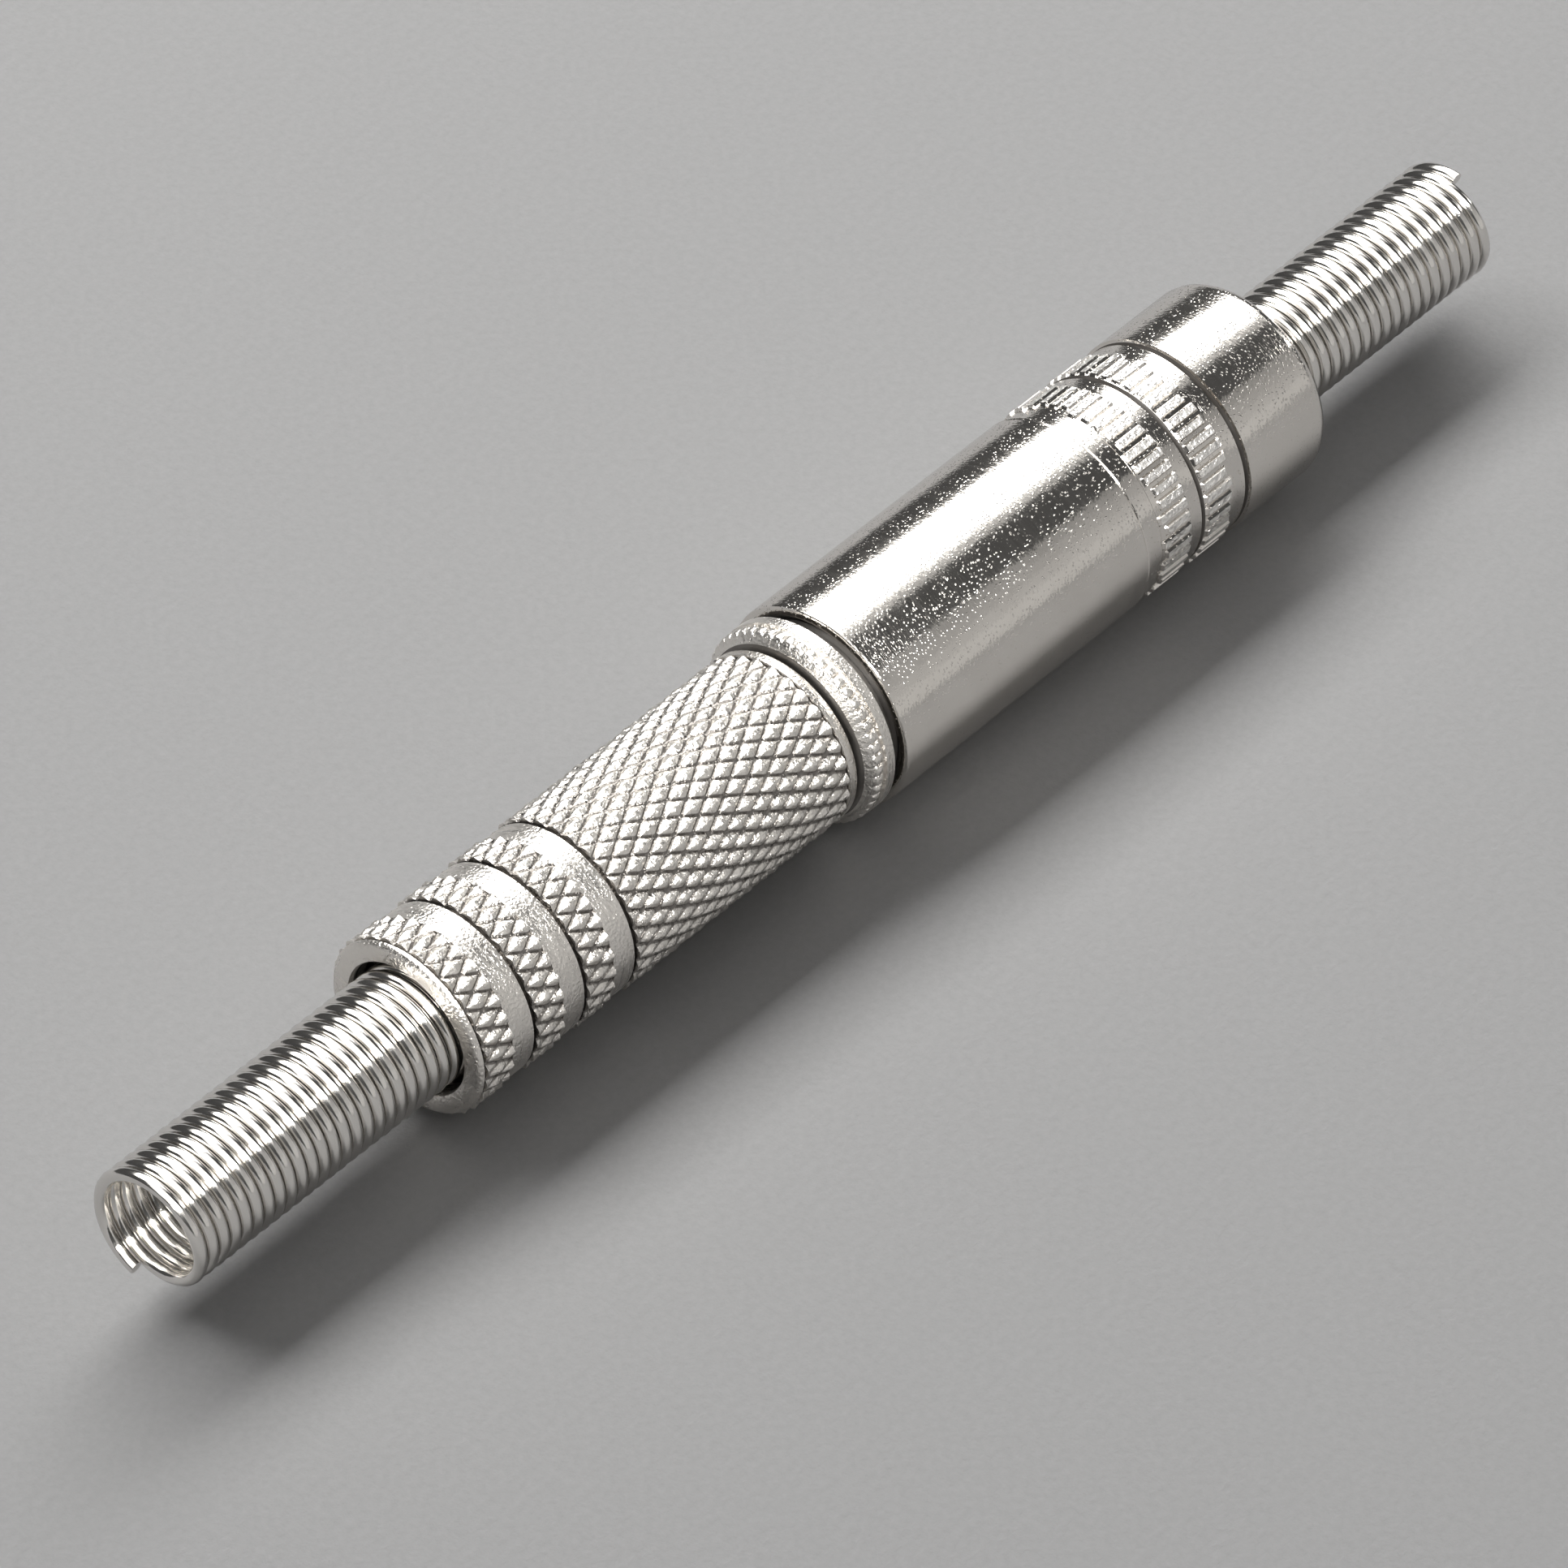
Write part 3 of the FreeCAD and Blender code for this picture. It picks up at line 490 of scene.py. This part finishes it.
def knurl(making, start, length, periods):
    """A ring of raised diamonds, as long as so many of them, cut off square at both ends."""
    pitch = length / periods
    strip = bmesh.new()
    for column in (0, 1):
        for row in range(math.ceil(periods) + 1):
            middle = start + pitch * (row + 0.5 * (1 - column))
            if middle > start + length + pitch / 2 - 0.001:
                continue
            cell = bmesh.ops.create_grid(strip, x_segments=steps_round, y_segments=steps_round,
                                         size=1.0)["verts"]
            for vertex in cell:
                right, left = vertex.co.x, vertex.co.y
                edge = (abs(right) ** diamond_power + abs(left) ** diamond_power) ** (1 / diamond_power)
                sunk = knurl_depth * min(1, edge) ** flank_power
                turn = half_step * (right + left) / 2 + half_step * column
                reach = handle_radius - 0.005 - sunk
                vertex.co = (middle + (right - left) * pitch / 4,
                             -reach * math.sin(turn), reach * math.cos(turn))
    for plane, keep_after in ((start, True), (start + length, False)):
        bmesh.ops.bisect_plane(strip, geom=strip.verts[:] + strip.edges[:] + strip.faces[:],
                               dist=0.0005, plane_co=(plane, 0, 0), plane_no=(1, 0, 0),
                               clear_inner=keep_after, clear_outer=not keep_after)
    bmesh.ops.spin(strip, geom=strip.verts[:] + strip.edges[:] + strip.faces[:], cent=(0, 0, 0),
                   axis=(1, 0, 0), dvec=(0, 0, 0), angle=math.tau * (1 - 1 / knurl_starts),
                   steps=knurl_starts - 1, use_merge=False, use_duplicate=True)
    bmesh.ops.remove_doubles(strip, verts=strip.verts, dist=0.002)
    holder = bpy.data.meshes.new("knurled_ring")
    strip.to_mesh(holder)
    strip.free()
    making.from_mesh(holder)
    bpy.data.meshes.remove(holder)


handle_mesh = bmesh.new()
band_start = handle_back + rim_length
for band in range(3):
    knurl(handle_mesh, band_start, band_width, 1)
    step = groove_radius - recess if band else groove_radius - rim_recess
    carry_on(handle_mesh, ring_at(handle_mesh, band_start), band_start, step)
    band_end = band_start + band_width
    edge = carry_on(handle_mesh, ring_at(handle_mesh, band_end), band_end, groove_radius)
    band_start = band_end + groove_width
    edge = carry_on(handle_mesh, edge, band_start - 0.2, groove_radius)
    edge = carry_on(handle_mesh, edge, band_start - 0.14, groove_radius - recess)
    carry_on(handle_mesh, edge, band_start, groove_radius - recess)
grip_end = handle_front - ring_length
knurl(handle_mesh, band_start, grip_end - band_start, 8.5)
carry_on(handle_mesh, ring_at(handle_mesh, band_start), band_start, groove_radius - recess)
bmesh.ops.remove_doubles(handle_mesh, verts=handle_mesh.verts, dist=0.002)

edge = ring_at(handle_mesh, grip_end)
thread_bore = 3.55
mouth = [(0, ring_radius - 0.16), (0.06, ring_radius - 0.16), (0.1, ring_radius), (0.5, ring_radius),
         (ring_length, ring_radius - 0.08), (ring_length, thread_bore + 0.2),
         (ring_length - 0.2, thread_bore)]
for ahead, radius in mouth:
    edge = carry_on(handle_mesh, edge, grip_end + ahead, radius)
for place in columns(handle_front - 0.3, handle_front - 4.2, 40):
    edge = carry_on(handle_mesh, edge, place, thread_bore)
hole_radius = 3.185
edge = carry_on(handle_mesh, edge, handle_back + 1, thread_bore)
edge = carry_on(handle_mesh, edge, handle_back + 1, hole_radius)
edge = carry_on(handle_mesh, edge, handle_back + 0.15, hole_radius)
edge = carry_on(handle_mesh, edge, handle_back + 0.03, hole_radius + 0.05)
edge = carry_on(handle_mesh, edge, handle_back, hole_radius + 0.17)
edge = carry_on(handle_mesh, edge, handle_back, handle_radius - 0.45)
edge = carry_on(handle_mesh, edge, handle_back + 0.05, handle_radius - 0.27)
edge = carry_on(handle_mesh, edge, handle_back + 0.16, handle_radius - 0.16)
edge = carry_on(handle_mesh, edge, handle_back + 0.25, groove_radius)
edge = carry_on(handle_mesh, edge, handle_back + 0.28, groove_radius - rim_recess)
edge = carry_on(handle_mesh, edge, handle_back + rim_length, groove_radius - rim_recess)
bmesh.ops.remove_doubles(handle_mesh, verts=handle_mesh.verts, dist=0.002)
cut_thread(handle_mesh, handle_front - 4.1, handle_front - 0.35, thread_bore, 0.2, -1)
for vertex in handle_mesh.verts:
    reach = math.hypot(vertex.co.y, vertex.co.z)
    if reach > groove_radius - 0.05 and handle_back + rim_length < vertex.co.x < grip_end:
        wave = noise.noise(vertex.co * 1.3) * 0.012 - 0.008
        if abs(reach - groove_radius) > 0.003:
            wave += noise.noise(vertex.co * 3.3) * 0.022 - 0.008
        vertex.co.y *= 1 + wave / reach
        vertex.co.z *= 1 + wave / reach
finish_piece(handle_mesh, "knurled_handle", satin_nickel, "plug_grip",
             ["plug_handle"], sharp=50)

# The strain relief is a close-wound spring of bright wire, right-handed, whose last turns
# are wound wider inside the handle so that it can't be pulled out. Its free end is cut off
# square and flat at the mouth.
wire = turned_metal("spring_wire", (0.76, 0.74, 0.71), (0.72, 0.70, 0.67), 0.13,
                    900, 0.0000004, 0, 0.000002)


def wind(mouth, inner_end, start_turn, radius, thickness, pitch, hand, flare):
    """A coil from its mouth inwards; hand is 1 if it goes towards +X, or -1."""
    turns = abs(inner_end - mouth - hand * thickness) / pitch
    steps = 48
    coil = bmesh.new()
    section = bmesh.ops.create_circle(coil, cap_ends=True, radius=thickness / 2, segments=12)["verts"]
    first = mouth + hand * thickness / 2
    middle = radius - thickness / 2
    bmesh.ops.translate(coil, vec=(first, middle, 0), verts=section)
    bmesh.ops.rotate(coil, cent=(0, 0, 0), verts=section,
                     matrix=Matrix.Rotation(start_turn, 3, "X"))
    count = round(turns * steps)
    bmesh.ops.spin(coil, geom=coil.faces[:], cent=(0, 0, 0), axis=(1, 0, 0),
                   dvec=(hand * pitch / steps, 0, 0), angle=hand * math.tau * count / steps,
                   steps=count, use_merge=False, use_duplicate=False)
    for vertex in coil.verts:
        depth = hand * (vertex.co.x - inner_end) + 3 * pitch
        if depth > 0:
            eased = min(1, depth / (2.4 * pitch))
            reach = math.hypot(vertex.co.y, vertex.co.z)
            grown = 1 + flare * eased * eased * (3 - 2 * eased) / reach
            vertex.co = (vertex.co.x, vertex.co.y * grown, vertex.co.z * grown)
    return coil


plug_mouth, plug_spring_end = span("plug_spring")[:2]
wire_thickness = 0.6
plug_coil_radius = 2.885
plug_coil = wind(plug_mouth, plug_spring_end, math.radians(-75), plug_coil_radius, wire_thickness,
                 pitch=0.65, hand=1, flare=0.45)
finish_piece(plug_coil, "plug_strain_coil", wire, "plug_strain_spring", ["plug_spring"])

# The jack's nose is a threaded brass bush with a smooth bore for the pin. A black moulding
# behind it holds two bronze leaf springs that press on the ring and the tip, and a white
# cap closes its back.
bush_front, bush_end, bush_radius = span("jack_bush")
bush_back = bush_front + 4.5
bush_bore = pin_radius + 0.05
spigot_radius = 2.3
bush_mesh = lathe(
    [(bush_front + 0.35, bush_bore), (bush_end, bush_bore), (bush_end, spigot_radius),
     (bush_back, spigot_radius)]
    + [(place, bush_radius) for place in columns(bush_back, bush_front + 0.4, 40)]
    + [(bush_front + 0.3, bush_radius), (bush_front, bush_radius - 0.3), (bush_front, 2.15)],
    128,
)
cut_thread(bush_mesh, bush_front + 0.6, bush_back - 0.1, bush_radius, 0.28)
brass = turned_metal("turned_brass", (0.70, 0.65, 0.53), (0.60, 0.55, 0.44), 0.28,
                     9000, 0.000001, 0.000002, 0.000002)
# The bush's front edge, down inside the shell's mouth, gets the painted shade.
for face in bush_mesh.faces:
    middle = face.calc_center_median()
    if middle.x < bush_front + 0.7 and math.hypot(middle.y, middle.z) > bush_radius - 0.29:
        face.material_index = 1
bush = finish_piece(bush_mesh, "threaded_bush", brass, "jack_core", ["jack_bush"])
bush.data.materials.append(painted_recess_shade.material)
bronze = Finish("spring_bronze", (0.76, 0.55, 0.31), 1.0, 0.28)
bronze_cloud = bronze.place.mottle(1800, 3)
bronze.vary(
    base_color=bronze_cloud.between((0.66, 0.45, 0.24, 1), (0.82, 0.62, 0.37, 1)),
    roughness=0.2 + bronze_cloud * 0.2,
)
dress(bronze, "jack_ring_spring", "jack_tip_spring")
dress(black_plastic, "jack_insulator")

# The jack's shell is a polished brass tube, nickel plated, with a threaded mouth. Behind
# its middle three smooth grooves leave two bands, and each is cut into straight teeth.
shell_front, shell_back, shell_radius = span("jack_shell")
tooth_count = 48
land_radius = shell_radius - 0.14
tooth_floor = shell_radius - 0.13
land_start = shell_front + 15.8
first_band = land_start + 1.0
tooth_length = 1.9
band_spacing = 2.9
second_band = first_band + band_spacing
lands_end = second_band + band_spacing
line_radius = land_radius - 0.2
bore = 4.15
mouth_radius = 4.5
tail_hole = 3.07
tooth_rows = 19
shell_outline = (
    [(shell_front, mouth_radius), (shell_front, shell_radius - 0.13),
     (shell_front + 0.06, shell_radius - 0.03),
     (shell_front + 0.16, shell_radius), (land_start - 0.12, shell_radius),
     (land_start - 0.06, shell_radius - 0.04), (land_start, shell_radius),
     (land_start + 0.05, land_radius), (first_band, land_radius)]
    + [(place, tooth_floor) for place in columns(first_band, first_band + tooth_length, tooth_rows)]
    + [(first_band + tooth_length + 0.05, land_radius), (second_band - 0.26, land_radius),
       (second_band - 0.14, line_radius), (second_band - 0.02, land_radius)]
    + [(place, tooth_floor) for place in columns(second_band, second_band + tooth_length, tooth_rows)]
    + [(second_band + tooth_length + 0.05, land_radius), (lands_end - 0.26, land_radius),
       (lands_end - 0.14, line_radius), (lands_end - 0.02, land_radius)]
    + [(lands_end, shell_radius), (shell_back, shell_radius)]
    + [(shell_back, tail_hole), (shell_back - 1, tail_hole), (shell_back - 1, bore)]
    + [(place, bore) for place in columns(shell_front + 5.0, shell_front + 0.35, 40)]
)
rear_corner = shell_outline.index((shell_back, shell_radius))
shell_mesh = lathe(shell_outline, tooth_count * 8, ((rear_corner, 0.65),))
chance = random.Random(5)
ragged = [[chance.uniform(0, 0.34) for tooth in range(tooth_count)] for band in range(2)]
for vertex in shell_mesh.verts:
    place, across, up = vertex.co
    reach = math.hypot(across, up)
    for band, start in enumerate((first_band, second_band)):
        if abs(reach - tooth_floor) > 0.002 or not start - 0.001 < place < start + tooth_length + 0.001:
            continue
        turn = (math.atan2(up, across) / math.tau) % 1 * tooth_count
        tooth = int(turn + 0.01) % tooth_count
        slice_number = round((turn - tooth) * 8) % 8
        along = place - start if band == 0 else start + tooth_length - place
        standing = slice_number < 5 and tooth_length - 0.04 > along > 0.04 + ragged[band][tooth]
        if standing:
            grown = (shell_radius - 0.004 * (slice_number % 3)) / reach
            vertex.co = (place, across * grown, up * grown)
cut_thread(shell_mesh, shell_front + 0.45, shell_front + 4.9, bore, 0.2, -1)
for face in shell_mesh.faces:
    middle = face.calc_center_median()
    reach = math.hypot(middle.y, middle.z)
    if reach > shell_radius - 0.03 and first_band < middle.x < second_band + tooth_length:
        face.material_index = 1
    # Faces down in the lands' V lines and on the mouth's inner bevel get the painted shade.
    if 4.3 < reach < land_radius - 0.02 and land_start < middle.x < lands_end + 0.05:
        face.material_index = 2
    if 4.1 < reach < 4.45 and middle.x < shell_front + 0.4:
        face.material_index = 2
shell = finish_piece(shell_mesh, "polished_shell", bright_nickel, "jack_barrel",
                     ["jack_shell"])
rolled_nickel = turned_metal("rolled_nickel", (0.90, 0.88, 0.85), (0.80, 0.78, 0.75), 0.36,
                             5000, 0.000002, 0.00012, 0.00002, along=5000, across=5000)
shell.data.materials.append(rolled_nickel.material)
shell.data.materials.append(painted_recess_shade.material)

# The jack has the same strain relief as the plug, a little narrower and wound less tightly. Its last
# turn, a touch proud at the mouth, is not made here.
jack_spring_end, jack_mouth = span("jack_spring")[:2]
jack_coil_radius = 2.77
jack_coil = wind(jack_mouth, jack_spring_end, math.radians(100), jack_coil_radius, wire_thickness,
                 pitch=0.69, hand=-1, flare=0.5)
finish_piece(jack_coil, "jack_strain_coil", wire, "jack_strain_spring", ["jack_spring"])
